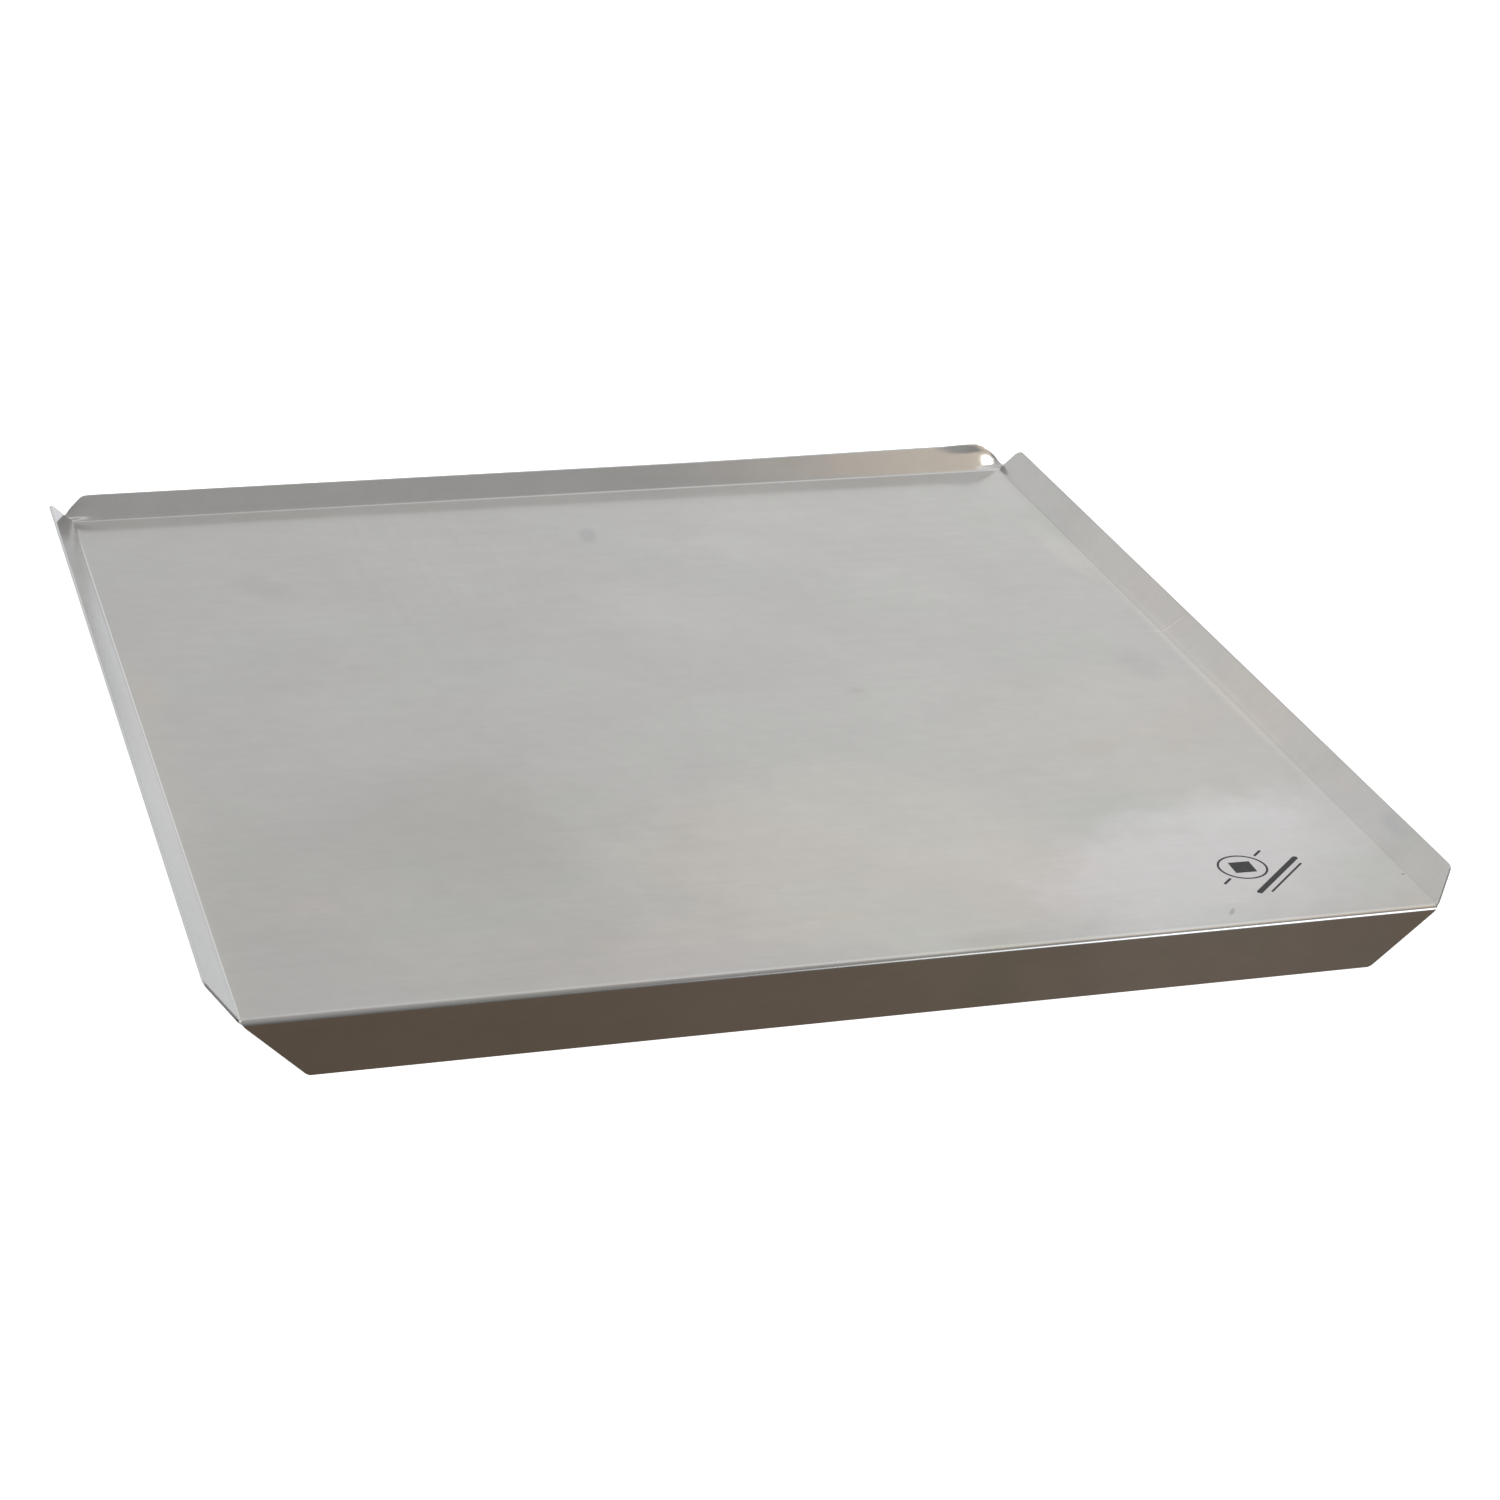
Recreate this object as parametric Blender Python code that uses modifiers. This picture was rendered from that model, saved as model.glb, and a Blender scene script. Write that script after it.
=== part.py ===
"""Folded stainless steel tray: one flat blank with its corners cut off, bent along four lines.

The frame is +X right, +Y towards the back rim, +Z up, in metres. The origin is the middle of the
panel's underside. The blank is cut out flat, its bend lines are scored into it, each point is
carried round the bends that it lies beyond, and the surface is thickened to sheet metal.
"""

import math

import bmesh
import bpy
from mathutils import Matrix, Vector

# Driving dimensions. A fold line is where the middle planes of the panel and a flange would meet.
PANEL_WIDTH = 0.460  # between the two side fold lines
PANEL_DEPTH = 0.480  # between the front and back fold lines
SHEET = 0.001  # sheet thickness
LIP_WIDTH = 0.0255  # front lip, from its fold line to its edge
RIM_WIDTH = 0.014  # back and side rims, from their fold lines to their edges
LIP_ANGLE = math.radians(97.0)  # folded down, just past square
SIDE_ANGLE = math.radians(45.0)  # folded up
BACK_ANGLE = math.radians(42.0)  # folded up
INNER_RADIUS = 0.0012  # inside of every bend
WEB_ROUNDNESS = 3.0  # 1 adds the two rims' heights in the corner web, and a large value mitres them

# How far the end of each flange's free edge stands in from the neighbouring fold line
LIP_INSET = 0.025
SIDE_FRONT_INSET = 0.0125
SIDE_BACK_INSET = 0.001
BACK_INSET = 0.0065

# How far each corner's cut stands out, at its deepest point, past the two fold lines that meet there
FRONT_NOTCH = -0.0006
BACK_NOTCH = 0.0044
TIP_ROUNDING = 0.0015  # where the rounding of each outer corner starts, along the edges

# Mesh resolution
BEND_STEPS = 8
WEB_STEP = 0.001
TIP_STEPS = 5
SMOOTH_BELOW = math.radians(35.0)

MID_RADIUS = INNER_RADIUS + SHEET / 2

STAINLESS = (0.60, 0.60, 0.585, 1.0)
ROUGHNESS = 0.38


class Bend:
    """A bend of the sheet about one fold line, worked in distances outward from the middle."""

    def __init__(self, fold_line, width, angle):
        setback = MID_RADIUS * math.tan(angle / 2)
        self.fold_line = fold_line
        self.angle = angle
        self.start = fold_line - setback
        self.arc = MID_RADIUS * angle
        self.end = self.start + self.arc
        self.edge = self.end + width - setback

    def carry(self, flat):
        """Where a point at this flat distance goes: its distance outward, and its rise."""
        turned = min(max(flat - self.start, 0.0), self.arc) / MID_RADIUS
        straight = max(flat - self.end, 0.0)
        run = min(flat, self.start) + MID_RADIUS * math.sin(turned) + straight * math.cos(self.angle)
        rise = MID_RADIUS * (1 - math.cos(turned)) + straight * math.sin(self.angle)
        return run, rise

    def lines(self):
        """Flat distances of the lines that divide the bend's arc."""
        return [self.start + self.arc * step / BEND_STEPS for step in range(BEND_STEPS + 1)]


SIDE = Bend(PANEL_WIDTH / 2, RIM_WIDTH, SIDE_ANGLE)
BACK = Bend(PANEL_DEPTH / 2, RIM_WIDTH, BACK_ANGLE)
FRONT = Bend(PANEL_DEPTH / 2, LIP_WIDTH, LIP_ANGLE)


def clear_scene():
    for obj in list(bpy.data.objects):
        bpy.data.objects.remove(obj, do_unlink=True)


def stainless_material():
    material = bpy.data.materials.new("stainless_steel")
    material.use_nodes = True
    shader = material.node_tree.nodes["Principled BSDF"]
    shader.inputs["Base Color"].default_value = STAINLESS
    shader.inputs["Metallic"].default_value = 1.0
    shader.inputs["Roughness"].default_value = ROUGHNESS
    return material


def split(mesh, point, normal, faces=None, clear_outer=False):
    """Cut the flat sheet along a straight line, and drop what lies past it if asked."""
    chosen = mesh.faces[:] if faces is None else faces
    edges = {edge for face in chosen for edge in face.edges}
    corners = {vert for face in chosen for vert in face.verts}
    bmesh.ops.bisect_plane(
        mesh,
        geom=[*corners, *edges, *chosen],
        plane_co=(*point, 0.0),
        plane_no=(*normal, 0.0),
        clear_outer=clear_outer,
    )


def cut_corner(mesh, side, end, bend, end_inset, side_inset):
    """Cut one corner off the blank, through the ends of the two flanges' free edges."""
    on_end = Vector((side * (SIDE.fold_line - end_inset), end * bend.edge))
    on_side = Vector((side * SIDE.edge, end * (bend.fold_line - side_inset)))
    outward = (on_side - on_end).orthogonal()
    if outward.dot(Vector((side, end))) < 0:
        outward.negate()
    split(mesh, on_end, outward, clear_outer=True)


def notch_corner(mesh, side, end, bend, notch):
    """Draw the middle of a corner's straight cut in to its deepest point."""
    deepest = Vector((side * (SIDE.fold_line + notch), end * (bend.fold_line + notch), 0.0))

    def distance(edge):
        middle = (edge.verts[0].co + edge.verts[1].co) / 2
        return (middle - deepest).length

    cut = min(mesh.edges, key=distance)
    new_vert = bmesh.utils.edge_split(cut, cut.verts[0], 0.5)[1]
    new_vert.co = deepest


def flat_blank():
    """The developed outline: a rectangle with its corners notched and its points rounded."""
    mesh = bmesh.new()
    depth = FRONT.edge + BACK.edge
    middle = (BACK.edge - FRONT.edge) / 2
    place = Matrix.Translation((0.0, middle, 0.0)) @ Matrix.Diagonal((2 * SIDE.edge, depth, 1.0, 1.0))
    bmesh.ops.create_grid(mesh, x_segments=1, y_segments=1, size=0.5, matrix=place)
    for side in (-1, 1):
        cut_corner(mesh, side, -1, FRONT, LIP_INSET, SIDE_FRONT_INSET)
        cut_corner(mesh, side, 1, BACK, BACK_INSET, SIDE_BACK_INSET)
    bmesh.ops.bevel(
        mesh,
        geom=mesh.verts[:],
        offset=TIP_ROUNDING,
        segments=TIP_STEPS,
        profile=0.5,
        affect="VERTICES",
    )
    for side in (-1, 1):
        notch_corner(mesh, side, -1, FRONT, FRONT_NOTCH)
        notch_corner(mesh, side, 1, BACK, BACK_NOTCH)
    return mesh


def score_bends(mesh):
    """Divide the blank along every bend, so that it can turn round them."""
    for line in SIDE.lines():
        for side in (-1, 1):
            split(mesh, (side * line, 0.0), (1, 0))
    for line in BACK.lines():
        split(mesh, (0.0, line), (0, 1))
    for line in FRONT.lines():
        split(mesh, (0.0, -line), (0, 1))


def web_faces(mesh):
    """Faces in the two back corners, past both the side bend's start and the back bend's start."""
    found = []
    for face in mesh.faces:
        middle = face.calc_center_median()
        if abs(middle.x) > SIDE.start and middle.y > BACK.start:
            found.append(face)
    return found


def score_webs(mesh):
    """Divide the back corners into small cells, so that the pressed web comes out curved."""
    cells = math.floor((SIDE.edge - SIDE.end) / WEB_STEP)
    for cell in range(1, cells + 1):
        for side in (-1, 1):
            split(mesh, (side * (SIDE.end + cell * WEB_STEP), 0.0), (1, 0), web_faces(mesh))
        split(mesh, (0.0, BACK.end + cell * WEB_STEP), (0, 1), web_faces(mesh))


def fold(mesh):
    """Carry every point round the bends that it lies beyond."""
    for vert in mesh.verts:
        flat = vert.co.copy()
        across, side_rise = SIDE.carry(abs(flat.x))
        back, back_rise = BACK.carry(flat.y)
        front, drop = FRONT.carry(-flat.y)
        rise = (side_rise**WEB_ROUNDNESS + back_rise**WEB_ROUNDNESS) ** (1 / WEB_ROUNDNESS)
        along = back if flat.y > 0 else -front
        vert.co = (math.copysign(across, flat.x), along, rise - drop + SHEET / 2)


def tray_sheet(collection):
    """The folded sheet, which is the whole tray."""
    mesh = flat_blank()
    score_bends(mesh)
    score_webs(mesh)
    fold(mesh)
    data = bpy.data.meshes.new("tray_sheet")
    mesh.to_mesh(data)
    mesh.free()
    data.materials.append(stainless_material())
    data.shade_smooth()
    data.set_sharp_from_angle(angle=SMOOTH_BELOW)
    sheet = bpy.data.objects.new("tray_sheet", data)
    collection.objects.link(sheet)
    solid = sheet.modifiers.new("thickness", "SOLIDIFY")
    solid.thickness = SHEET
    solid.offset = 0.0
    solid.use_even_offset = True


def main():
    clear_scene()
    collection = bpy.data.collections.new("folded_tray")
    bpy.context.scene.collection.children.link(collection)
    tray_sheet(collection)


main()
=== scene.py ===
"""Looks of the folded stainless steel tray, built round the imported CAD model."""

import math

import bmesh
import bpy
from mathutils import Matrix, Vector, noise


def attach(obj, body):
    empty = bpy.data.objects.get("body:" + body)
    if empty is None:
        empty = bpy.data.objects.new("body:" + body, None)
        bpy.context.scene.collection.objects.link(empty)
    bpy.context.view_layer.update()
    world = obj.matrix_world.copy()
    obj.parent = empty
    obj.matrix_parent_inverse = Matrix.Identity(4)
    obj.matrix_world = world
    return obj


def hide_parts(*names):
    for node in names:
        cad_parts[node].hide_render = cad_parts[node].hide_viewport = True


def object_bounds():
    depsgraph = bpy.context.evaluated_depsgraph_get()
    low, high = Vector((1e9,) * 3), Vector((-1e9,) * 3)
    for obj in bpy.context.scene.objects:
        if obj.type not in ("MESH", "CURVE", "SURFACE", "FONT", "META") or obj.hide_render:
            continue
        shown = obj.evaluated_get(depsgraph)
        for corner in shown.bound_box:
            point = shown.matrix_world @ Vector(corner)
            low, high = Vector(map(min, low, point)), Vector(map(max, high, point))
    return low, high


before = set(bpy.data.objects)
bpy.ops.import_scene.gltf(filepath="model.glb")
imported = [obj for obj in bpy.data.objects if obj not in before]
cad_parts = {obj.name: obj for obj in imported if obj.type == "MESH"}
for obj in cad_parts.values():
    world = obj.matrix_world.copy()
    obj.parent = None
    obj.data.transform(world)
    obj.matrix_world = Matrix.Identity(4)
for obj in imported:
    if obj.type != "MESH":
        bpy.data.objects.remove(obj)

CAD_LOW, CAD_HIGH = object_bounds()

# ---------------------------------------------------------------- sizes, in metres
PANEL_WIDTH = 0.460
PANEL_DEPTH = 0.480
SHEET = 0.001  # sheet thickness
MID_RADIUS = 0.0017  # bends, to the middle of the sheet
SIDE_ANGLE = math.radians(44.0)
BACK_ANGLE = math.radians(42.0)
LIP_ANGLE = math.radians(97.0)
SIDE_WIDTH = 0.0146  # flanges, outward from their fold lines
BACK_WIDTH = 0.014
LIP_WIDTH = 0.0255
EDGE_ROUND = 0.00015  # what the shears and a file leave of the sheet's sharp edges
EDGE_ABOVE = math.radians(55)  # edges that turn by more than this are sharp ones
EDGE_SEGMENTS = 2

# Fold lines, outward from the middle of the panel
SIDE_FOLD = PANEL_WIDTH / 2 - 0.0007
END_FOLD = PANEL_DEPTH / 2

# Where the corners' cuts start on each flange's free edge, outward from the middle
LIP_CUT = PANEL_WIDTH / 2 - 0.025
BACK_CUT = PANEL_WIDTH / 2 - 0.0065
SIDE_FRONT_CUT = PANEL_DEPTH / 2 - 0.0125
SIDE_BACK_CUT = PANEL_DEPTH / 2 - 0.001

# Where each corner's two cuts meet, outward from the panel's corner, by the corner's side and end
NOTCHES = {
    (-1, -1): (-0.0016, 0.0004),
    (1, -1): (0.0001, -0.0010),
    (-1, 1): (0.0044, 0.0044),
    (1, 1): (0.0044, 0.0044),
}
TIP_RADIUS = 0.005  # the flanges' outer corners
TIP_CUTS = 4

# Bends run out softly, and the two rims run together in the pressed back corners
SOFT_BEFORE = 0.0030  # the metal starts to lift this far before a bend's middle
SOFT_AFTER = 0.0034  # and settles this far past it
SOFT_SHARE = 0.22  # the share of a bend's angle that it takes up in that slow curve
WEB_ROUNDNESS = 3.0

# The panel isn't dead flat
WAVE_HEIGHT = 0.00022
WAVE_LENGTH = 0.16
WAVE_FADE = 0.05  # the distance from the folds over which it builds up
WAVE_LAYER = 3.7  # which slice of the noise it is

# The back rim is a little wider to the right, and its lower part falls away towards its ends
RIM_GROWTH = 0.09  # as a share of its width
RIM_GROWTH_START = 0.05
DROOP = 0.0016
DROOP_START = 0.2155
DROOP_END = 0.2265
DROOP_FOOT = 0.003  # the height over which it builds up
DROOP_EASE = (0.006, 0.013)  # the heights between which it eases
DROOP_LEFT = 0.5  # the share of it that is left above them

# The back rim's top leans forward near its right end
TIP_FOOT = 0.009  # the height where the rim's top starts
TIP_LEAN = 0.22  # as a slope
TIP_LEAN_START = 0.204
TIP_LEAN_END = 0.213
TIP_LEAN_FADE = (0.2195, 0.2260)
TIP_LEAN_BEND = 0.0015  # the height over which it turns to that slope

# Distances between the mesh's lines
PANEL_STEP = 0.006
BESIDE_STEP = 0.002  # beside a bend
BESIDE_WIDTH = 0.012
SOFT_STEP = 0.0004  # in its soft run-out
RIM_STEP = 0.001
BEND_STEPS = 12
PROFILE_STEP = 0.00002  # along the curve that a bend's profile is added up from
PROFILE_SPARE = 0.002
ROUNDING = 1e-9  # of a step, which doesn't ask for one more step
MERGE_BELOW = 0.00003


def smooth(value, low, high):
    """0 below low, 1 above high, and an even curve between them."""
    share = min(max((value - low) / (high - low), 0.0), 1.0)
    return share * share * (3 - 2 * share)


class Bend:
    """A bend of the sheet about one fold line, worked in distances outward from the middle."""

    def __init__(self, fold_line, width, angle):
        self.angle = angle
        setback = MID_RADIUS * math.tan(angle / 2)
        self.start = fold_line - setback
        self.end = self.start + MID_RADIUS * angle
        self.edge = self.end + width - setback
        self.middle = (self.start + self.end) / 2
        self.foot = self.middle - SOFT_BEFORE
        self.settled = self.middle + SOFT_AFTER
        self.profile = [(self.foot, 0.0)]
        while self.foot + len(self.profile) * PROFILE_STEP < self.edge + PROFILE_SPARE:
            run, rise = self.profile[-1]
            slope = self.slope(self.foot + (len(self.profile) - 0.5) * PROFILE_STEP)
            run += PROFILE_STEP * math.cos(slope)
            rise += PROFILE_STEP * math.sin(slope)
            self.profile.append((run, rise))

    def slope(self, flat):
        """How far the sheet has turned at this flat distance."""
        tight = min(max((flat - self.start) / (self.end - self.start), 0.0), 1.0)
        slow = smooth(flat, self.foot, self.settled)
        return self.angle * (SOFT_SHARE * slow + (1 - SOFT_SHARE) * tight)

    def carry(self, flat):
        """Where a point at this flat distance goes: its distance outward, and its rise."""
        if flat <= self.foot:
            return flat, 0.0
        place = (flat - self.foot) / PROFILE_STEP
        index = min(int(place), len(self.profile) - 2)
        share = place - index
        (run, rise), (next_run, next_rise) = self.profile[index : index + 2]
        return run + share * (next_run - run), rise + share * (next_rise - rise)


SIDE = Bend(SIDE_FOLD, SIDE_WIDTH, SIDE_ANGLE)
BACK = Bend(END_FOLD, BACK_WIDTH, BACK_ANGLE)
FRONT = Bend(END_FOLD, LIP_WIDTH, LIP_ANGLE)


def wave(x, y):
    """Height of the panel's slight unevenness, which fades out towards the folds."""
    fade = smooth(SIDE.start - abs(x), 0.0, WAVE_FADE) * smooth(END_FOLD - abs(y), 0.0, WAVE_FADE)
    place = Vector((x / WAVE_LENGTH, y / WAVE_LENGTH, WAVE_LAYER))
    return WAVE_HEIGHT * fade * noise.noise(place)


def stretched(x, y):
    """The flat distance of a point once the back rim's slight growth to the right is in."""
    grown = 1 + RIM_GROWTH * smooth(x, RIM_GROWTH_START, BACK_CUT)
    return y if y < BACK.end else BACK.end + (y - BACK.end) * grown


def sprung(x, y):
    """How far the back rim stands forward of its own plane, square to it."""
    up = max(y - BACK.end, 0.0)
    reach = max(abs(x) - DROOP_START, 0.0) / (DROOP_END - DROOP_START)
    left = 1 - (1 - DROOP_LEFT) * smooth(up, *DROOP_EASE)
    droop = DROOP * reach * reach * smooth(up, 0.0, DROOP_FOOT) * left
    top = max(up - TIP_FOOT, 0.0)
    lean = TIP_LEAN * smooth(x, TIP_LEAN_START, TIP_LEAN_END) * (1 - smooth(x, *TIP_LEAN_FADE))
    return lean * top * smooth(top, 0.0, TIP_LEAN_BEND) - droop


def folded(x, y):
    """Middle of the sheet, in the tray's own frame, for a point of the flat blank."""
    across, side_rise = SIDE.carry(abs(x))
    rise = side_rise
    if y > 0:
        along, back_rise = BACK.carry(stretched(x, y))
        rise = (side_rise**WEB_ROUNDNESS + back_rise**WEB_ROUNDNESS) ** (1 / WEB_ROUNDNESS)
        forward = sprung(x, y)
        along -= forward * math.sin(BACK_ANGLE)
        rise += forward * math.cos(BACK_ANGLE)
    else:
        front, drop = FRONT.carry(-y)
        along = -front
        rise -= drop
    return Vector((math.copysign(across, x), along, rise + SHEET / 2 + wave(x, y)))


def link(name, data):
    piece = bpy.data.objects.new(name, data)
    bpy.context.scene.collection.objects.link(piece)
    return piece


def piece_from(mesh, name):
    """A new object of this mesh, with its faces turned up."""
    bmesh.ops.recalc_face_normals(mesh, faces=mesh.faces[:])
    if sum(face.normal.z * face.calc_area() for face in mesh.faces) < 0:
        bmesh.ops.reverse_faces(mesh, faces=mesh.faces[:])
    data = bpy.data.meshes.new(name)
    mesh.to_mesh(data)
    mesh.free()
    return link(name, data)


# ---------------------------------------------------------------- the sheet
def steps(start, end, size):
    """Stations from start up to, but not including, end, no further apart than size."""
    count = max(1, math.ceil((end - start) / size - ROUNDING))
    return [start + (end - start) * i / count for i in range(count)]


def stations(bend, kept):
    """Outward stations across one half of the blank: panel, bend, flange. It holds the kept ones too."""
    found = steps(0.0, bend.foot - BESIDE_WIDTH, PANEL_STEP)
    found += steps(bend.foot - BESIDE_WIDTH, bend.foot, BESIDE_STEP)
    found += steps(bend.foot, bend.start, SOFT_STEP)
    found += steps(bend.start, bend.end, (bend.end - bend.start) / BEND_STEPS)
    found += steps(bend.end, bend.settled, SOFT_STEP)
    found += steps(bend.settled, bend.edge, RIM_STEP)
    found.append(bend.edge)
    for place in kept:
        nearest = min(range(len(found)), key=lambda i: abs(found[i] - place))
        found[nearest] = place
    return found


def cut(mesh, faces, point, outward):
    """Cut these faces of the flat sheet along a line, and drop what lies past it."""
    edges = dict.fromkeys(edge for face in faces for edge in face.edges)
    verts = dict.fromkeys(vert for face in faces for vert in face.verts)
    bmesh.ops.bisect_plane(
        mesh,
        geom=[*verts, *edges, *faces],
        plane_co=(*point, 0.0),
        plane_no=(*outward, 0.0),
        clear_outer=True,
    )


def round_tip(mesh, pick, tip, out_a, out_b):
    """Round a corner of the flat outline by cuts along tangents of the arc between its two edges."""
    half = out_a.angle(out_b) / 2
    centre = tip - (out_a + out_b).normalized() * TIP_RADIUS / math.cos(half)
    for i in range(1, TIP_CUTS + 1):
        outward = out_a.slerp(out_b, i / (TIP_CUTS + 1))
        cut(mesh, pick(), centre + outward * TIP_RADIUS, outward)


def square_out(start, end, guide):
    """The direction square to a line, on the guide's side of it."""
    outward = (end - start).orthogonal().normalized()
    if outward.dot(guide) < 0:
        outward.negate()
    return outward


def notch(side, end):
    """Where a corner's two cuts meet, as distances outward from the middle."""
    past_x, past_y = NOTCHES[side, end]
    return PANEL_WIDTH / 2 + past_x, PANEL_DEPTH / 2 + past_y


def notch_corner(mesh, side, end, on_end, on_side):
    """Cut one corner off the blank by two lines, which meet in a notch by the crossing of its folds."""
    corner = Vector((side, end))
    deepest = Vector(notch(side, end)) * corner

    def picked(past_end):
        found = []
        for face in mesh.faces:
            x, y, _ = face.calc_center_median()
            if x * side > 0 and y * end > 0 and (y * end > abs(deepest.y)) == past_end:
                if past_end or x * side > abs(deepest.x):
                    found.append(face)
        return found

    cuts = ((True, on_end, Vector((0, end))), (False, on_side, Vector((side, 0))))
    for past_end, start, outward in cuts:
        square = square_out(start, deepest, corner)
        cut(mesh, picked(past_end), start, square)
        round_tip(mesh, lambda: picked(past_end), start, outward, square)


def flat_blank():
    """The blank as a grid whose lines are closer together where the sheet bends."""
    left = stations(SIDE, (notch(-1, -1)[0], notch(-1, 1)[0]))
    right = stations(SIDE, (notch(1, -1)[0], notch(1, 1)[0]))
    front = stations(FRONT, (notch(-1, -1)[1], notch(1, -1)[1]))
    back = stations(BACK, (notch(1, 1)[1],))
    xs = [-x for x in reversed(left[1:])] + right
    ys = [-y for y in reversed(front[1:])] + back
    mesh = bmesh.new()
    bmesh.ops.create_grid(mesh, x_segments=len(xs) - 1, y_segments=len(ys) - 1, size=1.0)
    for vert in mesh.verts:
        column = round((vert.co.x + 1) / 2 * (len(xs) - 1))
        row = round((vert.co.y + 1) / 2 * (len(ys) - 1))
        vert.co = (xs[column], ys[row], 0.0)
    for side in (-1, 1):
        on_lip = Vector((side * LIP_CUT, -FRONT.edge))
        on_back = Vector((side * BACK_CUT, BACK.edge))
        notch_corner(mesh, side, -1, on_lip, Vector((side * SIDE.edge, -SIDE_FRONT_CUT)))
        notch_corner(mesh, side, 1, on_back, Vector((side * SIDE.edge, SIDE_BACK_CUT)))
    bmesh.ops.remove_doubles(mesh, verts=mesh.verts[:], dist=MERGE_BELOW)
    return mesh


def sheet_piece():
    mesh = flat_blank()
    for vert in mesh.verts:
        vert.co = folded(vert.co.x, vert.co.y)
    piece = piece_from(mesh, "folded_sheet")
    piece.data.shade_smooth()
    solid = piece.modifiers.new("thickness", "SOLIDIFY")
    solid.thickness = SHEET
    solid.offset = 0.0
    solid.use_even_offset = True
    solid.material_offset_rim = 1
    bevel = piece.modifiers.new("edges", "BEVEL")
    bevel.width = EDGE_ROUND
    bevel.segments = EDGE_SEGMENTS
    bevel.limit_method = "ANGLE"
    bevel.angle_limit = EDGE_ABOVE
    return piece


# ---------------------------------------------------------------- the printed mark
MARK_PLACE = Vector((0.1675, -0.1958))
MARK_TURN = math.radians(43.5)
MARK_LIFT = 0.00003  # the ink's top above the steel
MARK_INK = 0.00002
MARK_MERGE_BELOW = 0.00001

# Rings about the mark's middle: radius, stroke as a share of it, and number of corners
MARK_RINGS = ((0.0100, 0.09, 48), (0.0062, 1.0, 4))

# Bars: centre, length and height
MARK_BARS = (
    ((-0.0148, 0.0), 0.006, 0.0011),
    ((0.0148, 0.0), 0.006, 0.0011),
    ((0.002, -0.0138), 0.038, 0.0024),
    ((0.002, -0.0176), 0.030, 0.0009),
)
BAR_END_STEPS = 6


def mark_strip(mesh, rail_a, rail_b, closed):
    """Faces between two rows of points of the mark's own plane."""
    row_a = [mesh.verts.new((*point, 0.0)) for point in rail_a]
    row_b = [mesh.verts.new((*point, 0.0)) for point in rail_b]
    count = len(row_a) if closed else len(row_a) - 1
    for i in range(count):
        j = (i + 1) % len(row_a)
        mesh.faces.new((row_a[i], row_a[j], row_b[j], row_b[i]))


def ring(mesh, radius, share, corners):
    """A ring of even stroke: round with many corners, a diamond with four."""
    turns = [2 * math.pi * i / corners for i in range(corners)]
    outer = [Vector((math.cos(turn), math.sin(turn))) * radius for turn in turns]
    inner = [point * (1 - share) for point in outer]
    mark_strip(mesh, outer, inner, True)


def bar(mesh, centre, length, height):
    """A plain bar with round ends."""
    radius = height / 2
    half = length / 2 - radius
    turns = [math.pi / 2 * (1 - i / BAR_END_STEPS) for i in range(BAR_END_STEPS + 1)]
    right = [(half + radius * math.cos(turn), radius * math.sin(turn)) for turn in turns]
    left = [(-x, y) for x, y in reversed(right)]
    top = [*left, (-half / 2, radius), (half / 2, radius), *right]
    upper = [(centre[0] + x, centre[1] + y) for x, y in top]
    lower = [(centre[0] + x, centre[1] - y) for x, y in top]
    mark_strip(mesh, upper, lower, False)


def mark_piece():
    mesh = bmesh.new()
    for radius, share, corners in MARK_RINGS:
        ring(mesh, radius, share, corners)
    for centre, length, height in MARK_BARS:
        bar(mesh, centre, length, height)
    bmesh.ops.remove_doubles(mesh, verts=mesh.verts[:], dist=MARK_MERGE_BELOW)
    turn = Matrix.Rotation(MARK_TURN, 2)
    for vert in mesh.verts:
        flat = MARK_PLACE + turn @ vert.co.xy
        vert.co = folded(flat.x, flat.y) + Vector((0.0, 0.0, SHEET / 2 + MARK_LIFT))
    piece = piece_from(mesh, "printed_mark")
    solid = piece.modifiers.new("ink", "SOLIDIFY")
    solid.thickness = MARK_INK
    solid.offset = -1.0
    return piece


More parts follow.
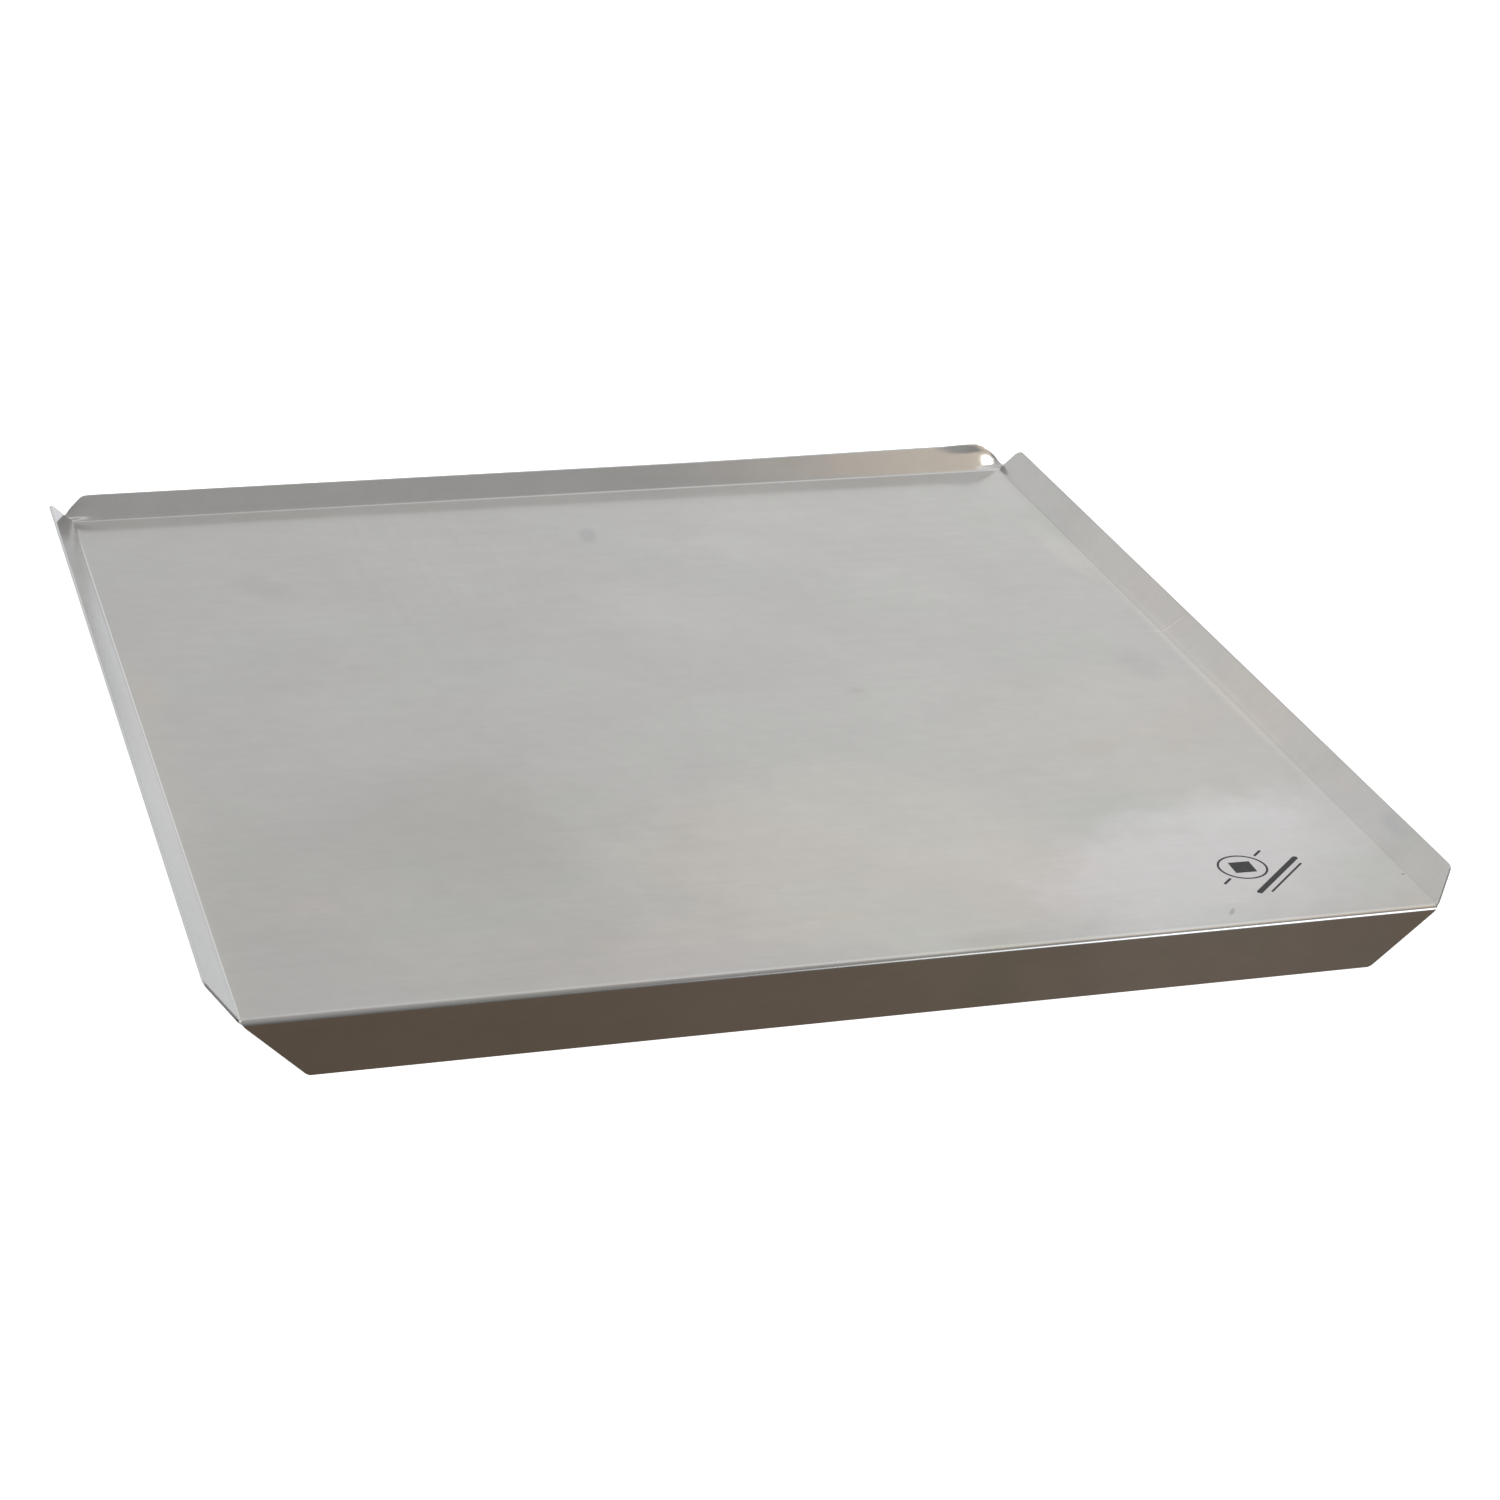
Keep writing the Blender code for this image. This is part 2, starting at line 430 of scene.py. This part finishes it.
# ---------------------------------------------------------------- materials
class Nodes:
    """A small helper that adds nodes to one node tree and links them."""

    def __init__(self, tree):
        self.nodes = tree.nodes
        self.links = tree.links

    def add(self, kind, inputs=(), **settings):
        node = self.nodes.new(kind)
        for name, value in settings.items():
            setattr(node, name, value)
        for socket, value in inputs:
            self.feed(node.inputs[socket], value)
        return node

    def feed(self, socket, value):
        if isinstance(value, bpy.types.NodeSocket):
            self.links.new(value, socket)
        else:
            socket.default_value = value

    def math(self, operation, a, b=0.0):
        return self.add("ShaderNodeMath", ((0, a), (1, b)), operation=operation).outputs[0]

    def vector(self, operation, a, b=(0.0, 0.0, 0.0)):
        node = self.add("ShaderNodeVectorMath", ((0, a), (1, b)), operation=operation)
        return node.outputs["Value" if operation in ("LENGTH", "DOT_PRODUCT") else "Vector"]

    def scaled(self, vector, factor):
        node = self.add("ShaderNodeVectorMath", ((0, vector), ("Scale", factor)), operation="SCALE")
        return node.outputs["Vector"]

    def range(self, value, low, high, out_low=0.0, out_high=1.0, kind="SMOOTHSTEP"):
        node = self.add(
            "ShaderNodeMapRange",
            (
                ("Value", value),
                ("From Min", low),
                ("From Max", high),
                ("To Min", out_low),
                ("To Max", out_high),
            ),
            interpolation_type=kind,
        )
        return node.outputs["Result"]

    def spread(self, value, reach, out_middle, out_reach):
        """Noise of this reach about a half, as an even spread about another middle."""
        low, high = 0.5 - reach, 0.5 + reach
        return self.range(value, low, high, out_middle - out_reach, out_middle + out_reach, "LINEAR")

    def mix(self, share, a, b, blend="MIX"):
        inputs = ((0, share), (6, a), (7, b))
        return self.add("ShaderNodeMix", inputs, data_type="RGBA", blend_type=blend).outputs[2]

    def tinted(self, share, colour, tint):
        """A colour, multiplied by a tint where the share is 1."""
        return self.mix(share, colour, self.mix(1.0, colour, (*tint, 1.0), "MULTIPLY"))

    def grey(self, level):
        return self.add("ShaderNodeCombineXYZ", ((0, level), (1, level), (2, level))).outputs[0]

    def bump(self, height, strength, distance):
        inputs = (("Height", height), ("Strength", strength), ("Distance", distance))
        return self.add("ShaderNodeBump", inputs).outputs["Normal"]

    def mapped(self, place, location=(0, 0, 0), turn=0.0, scale=(1, 1, 1), kind="TEXTURE"):
        inputs = (("Vector", place), ("Location", location), ("Rotation", (0, 0, turn)), ("Scale", scale))
        return self.add("ShaderNodeMapping", inputs, vector_type=kind).outputs["Vector"]

    def noise(self, place, texture, turn=0.0):
        """Noise of a texture: its scale along the lip and across it, detail and roughness."""
        along, across, detail, roughness = texture
        local = self.mapped(place, turn=turn, scale=(along, across, across), kind="POINT")
        inputs = (("Vector", local), ("Scale", 1.0), ("Detail", detail), ("Roughness", roughness))
        return self.add("ShaderNodeTexNoise", inputs)


def shader_nodes(name):
    material = bpy.data.materials.new(name)
    material.use_nodes = True
    tree = material.node_tree
    return material, Nodes(tree), tree.nodes["Principled BSDF"]


STEEL = (0.600, 0.592, 0.584)
STEEL_ROUGHNESS = 0.135
TALL = 1.0  # a patch reaches through the whole height of the tray

# Uneven polish, handling marks and heat tints, with painted light on the side flanges where noted: place,
# half sizes, turn in degrees, softness and the colour that the steel's own is multiplied by
PATCHES = (
    ((0.020, -0.155), (0.118, 0.100), 0, 0.5, (1.085, 1.064, 1.026)),
    ((-0.100, -0.218), (0.110, 0.030), 0, 0.8, (1.022, 1.000, 0.985)),
    ((0.175, -0.065), (0.085, 0.078), 10, 0.45, (1.048, 1.024, 1.004)),
    ((0.155, -0.190), (0.115, 0.062), 32, 0.7, (1.200, 1.190, 1.230)),
    ((0.015, 0.090), (0.060, 0.055), 0, 0.9, (1.045, 1.043, 1.048)),
    ((0.062, 0.168), (0.045, 0.035), 0, 0.9, (1.055, 1.055, 1.060)),
    ((0.195, -0.140), (0.045, 0.035), 30, 0.9, (1.080, 1.080, 1.090)),
    ((0.228, -0.238), (0.022, 0.022), 0, 0.8, (0.990, 0.965, 0.935)),
    ((-0.120, -0.100), (0.075, 0.085), 0, 0.8, (0.950, 0.950, 0.945)),
    ((-0.150, -0.150), (0.140, 0.130), 0, 0.7, (0.960, 0.960, 0.955)),
    # painted light: the left fold and flange lighter along most of their length
    ((-0.228, -0.060), (0.016, 0.210), 0, 0.8, (1.035, 1.020, 1.010)),
    ((-0.222, 0.040), (0.009, 0.024), 0, 0.7, (1.030, 1.000, 0.980)),
    # painted shade: the upper half of the left flange darker towards the back
    ((-0.240, 0.035), (0.014, 0.105), 0, 0.9, (0.840, 0.835, 0.830)),
    ((-0.190, -0.160), (0.016, 0.013), 0, 0.9, (1.028, 1.006, 0.998)),
    ((-0.125, -0.160), (0.016, 0.012), 0, 0.9, (1.032, 1.010, 1.000)),
    ((0.205, -0.004), (0.013, 0.022), 0, 0.8, (0.960, 0.945, 0.955)),
    ((0.152, -0.080), (0.016, 0.014), 0, 0.8, (0.970, 0.955, 0.955)),
    ((0.072, -0.008), (0.006, 0.005), 0, 0.8, (0.960, 0.945, 0.945)),
    ((-0.155, 0.145), (0.015, 0.024), 25, 0.8, (0.940, 0.938, 0.955)),
    ((0.003, 0.186), (0.006, 0.013), -8, 0.7, (0.860, 0.890, 0.905)),
    ((-0.080, 0.047), (0.030, 0.014), 10, 0.9, (0.965, 0.965, 0.980)),
    ((0.122, 0.118), (0.022, 0.012), 20, 0.9, (1.040, 1.040, 1.040)),
    ((0.2215, 0.130), (0.010, 0.046), 4, 0.7, (1.075, 1.075, 1.065)),
    ((-0.020, -0.206), (0.080, 0.006), 1, 0.9, (0.972, 0.966, 0.955)),
    ((-0.150, -0.196), (0.050, 0.006), 1, 0.9, (1.020, 1.010, 1.000)),
    ((0.050, -0.233), (0.020, 0.010), 0, 0.8, (0.935, 0.930, 0.905)),
    # painted light: the right fold and flange lighter along most of their length
    ((0.236, 0.000), (0.012, 0.190), 0, 0.5, (1.060, 1.038, 1.030)),
    ((0.2365, -0.185), (0.004, 0.014), 0, 0.8, (0.920, 0.930, 0.955)),
    ((0.230, 0.030), (0.012, 0.0006), -20, 0.6, (1.120, 1.120, 1.110)),
    ((0.148, -0.230), (0.0012, 0.0042), -35, 0.6, (0.740, 0.740, 0.740)),
    ((0.2277, -0.2133), (0.0009, 0.0006), 0, 0.5, (0.520, 0.520, 0.520)),
)
CLOUDED_ABOVE = 0.02  # patches with larger half sizes than this have an uneven outline
CLOUDING = 0.085

# Painted highlight: a light line painted along the right fold, where the bend catches the light
FOLD_HIGHLIGHT_PLACE = (SIDE_FOLD - 0.001, -0.010, 0.0)
FOLD_HIGHLIGHT_SIZE = (0.0042, 0.235, TALL)
FOLD_HIGHLIGHT_SOFT = 0.9
FOLD_HIGHLIGHT_TINT = (1.10, 1.10, 1.09)

# Textures: noise scale along the lip and across it, detail and roughness
SWIRL = (16.0, 16.0, 6.0, 0.62)
CLOUD = (16.0, 16.0, 5.0, 0.62)
GRAIN = (14.0, 700.0, 3.0, 0.55)  # the steel's fine rolling lines
STREAK = (7.0, 120.0, 4.0, 0.60)
SCUFF = (260.0, 5.0, 3.0, 0.60)
SPECKLE = (900.0, 900.0, 2.0, 0.50)
MOTTLE = (110.0, 110.0, 3.0, 0.60)
HUE = (9.0, 9.0, 4.0, 0.60)
SHEARED = (1800.0, 1800.0, 3.0, 0.60)
INK = (1500.0, 1500.0, 3.0, 0.60)

# A noise's reach about a half, and how far that moves the steel's brightness or roughness
CLOUD_LIGHT = (0.20, 0.030)
GRAIN_LIGHT = (0.25, 0.009)
MOTTLE_LIGHT = (0.20, 0.015)
SPECKLE_LIGHT = (0.20, 0.010)
CLOUD_ROUGHNESS = (0.25, 0.020)
GRAIN_ROUGHNESS = (0.25, 0.012)

# Relief of the steel's surface, as shares of a height of BUMP_HEIGHT
GRAIN_RELIEF = 0.6
SPECKLE_RELIEF = 0.4
BUMP_STRENGTH = 0.25
BUMP_HEIGHT = 0.00002

# Streaks and colour casts grow stronger between these two places along Y, towards the front
FRONT_REACH = (-0.02, -0.18)
STREAK_LIGHT = (0.025, 0.06)
HUE_SHARE = (0.3, 1.0)
HUE_REACH = (0.35, 0.65)
WARM_CAST = (1.014, 0.994, 0.994, 1.0)
COOL_CAST = (0.986, 1.006, 0.990, 1.0)

# Fine scuffs from front to back
SCUFF_LIGHT = 0.07
SCUFF_TURN = math.radians(4)
SCUFFED_PLACE = (-0.070, 0.165, 0.0)
SCUFFED_SIZE = (0.10, 0.11, TALL)
SCUFFED_SOFT = 0.6

# The sheared edges, which are rougher, and the ink, which is a little worn
SHEARED_DARK = (0.50, 0.50, 0.49, 1.0)
SHEARED_BRIGHT = (0.74, 0.74, 0.73, 1.0)
SHEARED_ROUGHNESS = (0.375, 0.075)  # its middle, and its reach about that
SHEARED_BUMP_STRENGTH = 0.4
SHEARED_BUMP_HEIGHT = 0.00003
INK_DARK = (0.030, 0.030, 0.034, 1.0)
INK_WORN = (0.11, 0.11, 0.115, 1.0)
INK_WORN_REACH = (0.58, 0.75)
INK_ROUGHNESS = (0.5, 0.08)
INK_SPECULAR = 0.3
FINE_REACH = 0.2


def patched(tree, place):
    """The steel's colour, with its patches, some of them painted light on the side flanges, and the
    painted highlight along the right fold.
    """
    swirl = tree.noise(place, SWIRL).outputs["Color"]
    shift = tree.vector("SUBTRACT", swirl, (0.5, 0.5, 0.5))
    clouded = tree.vector("ADD", place, tree.vector("MULTIPLY", shift, (CLOUDING, CLOUDING, 0.0)))
    colour = (*STEEL, 1.0)
    for (x, y), (half_x, half_y), turn, soft, tint in PATCHES:
        source = clouded if min(half_x, half_y) > CLOUDED_ABOVE else place
        local = tree.mapped(source, (x, y, 0.0), math.radians(turn), (half_x, half_y, TALL))
        mask = tree.range(tree.vector("LENGTH", local), 1.0, 1.0 - soft)
        colour = tree.tinted(mask, colour, tint)
    # painted highlight: the light line along the right fold
    local = tree.mapped(place, FOLD_HIGHLIGHT_PLACE, 0.0, FOLD_HIGHLIGHT_SIZE)
    mask = tree.range(tree.vector("LENGTH", local), 1.0, 1.0 - FOLD_HIGHLIGHT_SOFT)
    return tree.tinted(mask, colour, FOLD_HIGHLIGHT_TINT)


def streaks_and_scuffs(tree, place, front):
    """Brightness of the rolling streaks, which are stronger towards the front, and of the scuffs."""
    streak = tree.math("SUBTRACT", tree.noise(place, STREAK).outputs["Fac"], 0.5)
    streak = tree.math("MULTIPLY", streak, tree.range(front, 0.0, 1.0, *STREAK_LIGHT, "LINEAR"))
    scuffed = tree.vector("LENGTH", tree.mapped(place, SCUFFED_PLACE, 0.0, SCUFFED_SIZE))
    scuff = tree.math("SUBTRACT", tree.noise(place, SCUFF, SCUFF_TURN).outputs["Fac"], 0.5)
    scuff = tree.math("MULTIPLY", scuff, tree.range(scuffed, 1.0, 1.0 - SCUFFED_SOFT, 0.0, SCUFF_LIGHT))
    return tree.math("ADD", tree.math("ADD", streak, scuff), 1.0)


def steel_material():
    material, tree, shader = shader_nodes("satin_stainless")
    place = tree.add("ShaderNodeTexCoord").outputs["Object"]
    front = tree.range(tree.add("ShaderNodeSeparateXYZ", ((0, place),)).outputs["Y"], *FRONT_REACH)
    cloud = tree.noise(place, CLOUD).outputs["Fac"]
    grain = tree.noise(place, GRAIN).outputs["Fac"]
    mottle = tree.noise(place, MOTTLE).outputs["Fac"]
    speckle = tree.noise(place, SPECKLE).outputs["Fac"]

    level = streaks_and_scuffs(tree, place, front)
    lights = (
        (cloud, CLOUD_LIGHT),
        (grain, GRAIN_LIGHT),
        (mottle, MOTTLE_LIGHT),
        (speckle, SPECKLE_LIGHT),
    )
    for texture, (reach, light) in lights:
        level = tree.math("MULTIPLY", level, tree.spread(texture, reach, 1.0, light))
    colour = tree.mix(1.0, patched(tree, place), tree.grey(level), "MULTIPLY")
    hue = tree.range(tree.noise(place, HUE).outputs["Fac"], *HUE_REACH)
    cast = tree.mix(1.0, colour, tree.mix(hue, WARM_CAST, COOL_CAST), "MULTIPLY")
    colour = tree.mix(tree.range(front, 0.0, 1.0, *HUE_SHARE, "LINEAR"), colour, cast)
    tree.feed(shader.inputs["Base Color"], colour)

    cloud_reach, cloud_rough = CLOUD_ROUGHNESS
    grain_reach, grain_rough = GRAIN_ROUGHNESS
    rough = tree.spread(cloud, cloud_reach, STEEL_ROUGHNESS, cloud_rough)
    rough = tree.math("ADD", rough, tree.spread(grain, grain_reach, 0.0, grain_rough))
    tree.feed(shader.inputs["Roughness"], rough)
    shader.inputs["Metallic"].default_value = 1.0

    lines = tree.math("MULTIPLY", grain, GRAIN_RELIEF)
    height = tree.math("ADD", lines, tree.math("MULTIPLY", speckle, SPECKLE_RELIEF))
    tree.feed(shader.inputs["Normal"], tree.bump(height, BUMP_STRENGTH, BUMP_HEIGHT))
    return material


def edge_material():
    """The sheet's sheared edges: the same steel, torn and brighter in places."""
    material, tree, shader = shader_nodes("sheared_edge")
    place = tree.add("ShaderNodeTexCoord").outputs["Object"]
    grain = tree.noise(place, SHEARED).outputs["Fac"]
    bright = tree.spread(grain, FINE_REACH, 0.5, 0.5)
    tree.feed(shader.inputs["Base Color"], tree.mix(bright, SHEARED_DARK, SHEARED_BRIGHT))
    tree.feed(shader.inputs["Roughness"], tree.spread(grain, FINE_REACH, *SHEARED_ROUGHNESS))
    shader.inputs["Metallic"].default_value = 1.0
    relief = tree.bump(grain, SHEARED_BUMP_STRENGTH, SHEARED_BUMP_HEIGHT)
    tree.feed(shader.inputs["Normal"], relief)
    return material


def ink_material():
    material, tree, shader = shader_nodes("dark_ink")
    place = tree.add("ShaderNodeTexCoord").outputs["Object"]
    grain = tree.noise(place, INK).outputs["Fac"]
    worn = tree.range(grain, *INK_WORN_REACH)
    tree.feed(shader.inputs["Base Color"], tree.mix(worn, INK_DARK, INK_WORN))
    tree.feed(shader.inputs["Roughness"], tree.spread(grain, FINE_REACH, *INK_ROUGHNESS))
    shader.inputs["Specular IOR Level"].default_value = INK_SPECULAR
    return material


# ---------------------------------------------------------------- studio
FLOOR_SIZE = 80.0
FLOOR_WHITE = (0.9, 0.9, 0.9, 1.0)
FLOOR_ROUGHNESS = 0.9
FLOOR_GLOW = 0.86
HINGE_INSET = 0.001  # the floor tilts about a line this far in from the back fold

# The studio's light, as brightness by height: behind the tray, and on the camera's side of it
BEHIND = (
    (0.0, 0.85),
    (0.07, 0.80),
    (0.14, 1.02),
    (0.23, 1.05),
    (0.355, 0.715),
    (0.43, 0.75),
    (0.48, 0.72),
    (0.57, 0.75),
    (0.75, 0.83),
    (0.88, 0.87),
    (1.0, 0.62),
)
FACING = (
    (0.0, 0.18),
    (0.06, 0.20),
    (0.37, 0.27),
    (0.64, 0.37),
    (0.86, 0.44),
    (0.94, 0.47),
    (1.0, 0.50),
)
LADDER_TINT = (1.0, 1.0, 0.985)
TURN_BEHIND = (-0.15, 0.35)  # from the camera's side to behind

# Behind the tray the light grows to both sides, is a little weaker on the left, and is cool low down
MIDDLE_LIGHT = 0.92
SIDE_GROWTH = 1.4
SIDE_LIMIT = 0.11
LEFT_REACH = (-0.3, 0.0)
LEFT_LIGHT = 0.96
COOL_REACH = (0.12, 0.34)
COOL_TINT = (0.985, 1.010, 1.060, 1.0)

# Below the horizon
BELOW_LEFT = (0.150, 0.116, 0.088, 1.0)
BELOW_RIGHT = (0.197, 0.163, 0.133, 1.0)
BELOW_BEHIND = (0.88, 0.90, 0.93, 1.0)
BELOW_ACROSS = (0.1, 0.5)
BELOW_ALONG = (-0.1, 0.4)
HORIZON = (-0.35, 0.02)

# Soft boxes: direction, inner and outer half angle in degrees, added colour
SOFT_BOXES = (
    ((0.56, -0.80, 0.22), 8, 20, (2.2, 2.25, 2.35)),
    ((-0.35, -0.85, 0.40), 8, 25, (0.35, 0.35, 0.35)),
    ((0.56, -0.22, 0.80), 15.5, 16.7, (0.40, 0.31, 0.21)),
    ((0.68, -0.10, 0.72), 3, 11, (2.6, 2.6, 2.55)),
    ((0.36, 0.06, 0.93), 6, 14, (0.30, 0.33, 0.36)),
)

CAMERA_PLACE = (-0.39413, -1.29232, 0.59942)
CAMERA_AZIMUTH = math.radians(18.098)
CAMERA_ELEVATION = math.radians(24.736)
CAMERA_ROLL = math.radians(3.286)
CAMERA_LENS = 83.91  # in millimetres
SENSOR_WIDTH = 36.0


def add_floor():
    """A pale floor that touches the lip's lower edge and the back fold, as a table would."""
    bpy.ops.mesh.primitive_plane_add(size=FLOOR_SIZE)
    floor = bpy.context.active_object
    floor.name = "studio_floor"
    floor.location = (0.0, END_FOLD - HINGE_INSET, 0.0)
    floor.rotation_euler = (math.atan2(-CAD_LOW.z, 2 * END_FOLD), 0.0, 0.0)
    material, _, shader = shader_nodes("pale_floor")
    shader.inputs["Base Color"].default_value = FLOOR_WHITE
    shader.inputs["Roughness"].default_value = FLOOR_ROUGHNESS
    shader.inputs["Specular IOR Level"].default_value = 0.0
    shader.inputs["Emission Color"].default_value = (1.0, 1.0, 1.0, 1.0)
    shader.inputs["Emission Strength"].default_value = FLOOR_GLOW
    floor.data.materials.append(material)
    floor.visible_glossy = False


def ladder(tree, height, stops):
    """Brightness by height, read off a list of stops."""
    ramp = tree.add("ShaderNodeValToRGB", (("Fac", height),))
    ramp.color_ramp.interpolation = "EASE"
    elements = ramp.color_ramp.elements
    elements.remove(elements[-1])
    for i, (place, level) in enumerate(stops):
        element = elements[0] if i == 0 else elements.new(place)
        element.position = place
        element.color = (*(level * tint for tint in LADDER_TINT), 1.0)
    return ramp.outputs["Color"]


def sky_colour(tree, x, y, z):
    """Light from above the horizon."""
    spread = tree.math("MINIMUM", tree.math("MULTIPLY", x, x), SIDE_LIMIT)
    sides = tree.math("ADD", tree.math("MULTIPLY", spread, SIDE_GROWTH), MIDDLE_LIGHT)
    sides = tree.math("MULTIPLY", sides, tree.range(x, *LEFT_REACH, LEFT_LIGHT, 1.0))
    cool = tree.mix(tree.range(z, *COOL_REACH), COOL_TINT, (1.0, 1.0, 1.0, 1.0))
    behind = tree.vector("MULTIPLY", tree.scaled(ladder(tree, z, BEHIND), sides), cool)
    return tree.mix(tree.range(y, *TURN_BEHIND), ladder(tree, z, FACING), behind)


def add_world():
    world = bpy.data.worlds.new("studio")
    bpy.context.scene.world = world
    world.use_nodes = True
    tree = Nodes(world.node_tree)
    way = tree.vector("NORMALIZE", tree.add("ShaderNodeTexCoord").outputs["Generated"])
    parts = tree.add("ShaderNodeSeparateXYZ", ((0, way),)).outputs
    x, y, z = parts["X"], parts["Y"], parts["Z"]

    below = tree.mix(tree.range(x, *BELOW_ACROSS), BELOW_LEFT, BELOW_RIGHT)
    below = tree.mix(tree.range(y, *BELOW_ALONG), below, BELOW_BEHIND)
    colour = tree.mix(tree.range(z, *HORIZON), below, sky_colour(tree, x, y, z))
    for centre, inner, outer, light in SOFT_BOXES:
        near = tree.vector("DOT_PRODUCT", way, Vector(centre).normalized())
        share = tree.range(near, math.cos(math.radians(outer)), math.cos(math.radians(inner)))
        colour = tree.vector("ADD", colour, tree.scaled(light, share))
    tree.feed(world.node_tree.nodes["Background"].inputs["Color"], colour)


def add_camera():
    forward = Vector((
        math.sin(CAMERA_AZIMUTH) * math.cos(CAMERA_ELEVATION),
        math.cos(CAMERA_AZIMUTH) * math.cos(CAMERA_ELEVATION),
        -math.sin(CAMERA_ELEVATION),
    ))
    data = bpy.data.cameras.new("camera")
    data.lens = CAMERA_LENS
    data.sensor_width = SENSOR_WIDTH
    camera = link("camera", data)
    camera.location = CAMERA_PLACE
    aim = forward.to_track_quat("-Z", "Y").to_matrix()
    camera.rotation_euler = (aim @ Matrix.Rotation(CAMERA_ROLL, 3, "Z")).to_euler()
    bpy.context.scene.camera = camera


def main():
    add_camera()
    add_floor()
    add_world()
    sheet = sheet_piece()
    sheet.data.materials.append(steel_material())
    sheet.data.materials.append(edge_material())
    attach(sheet, "root")
    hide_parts("tray_sheet")
    mark = mark_piece()
    mark.data.materials.append(ink_material())
    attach(mark, "root")
    bpy.context.scene.view_settings.view_transform = "Standard"


main()
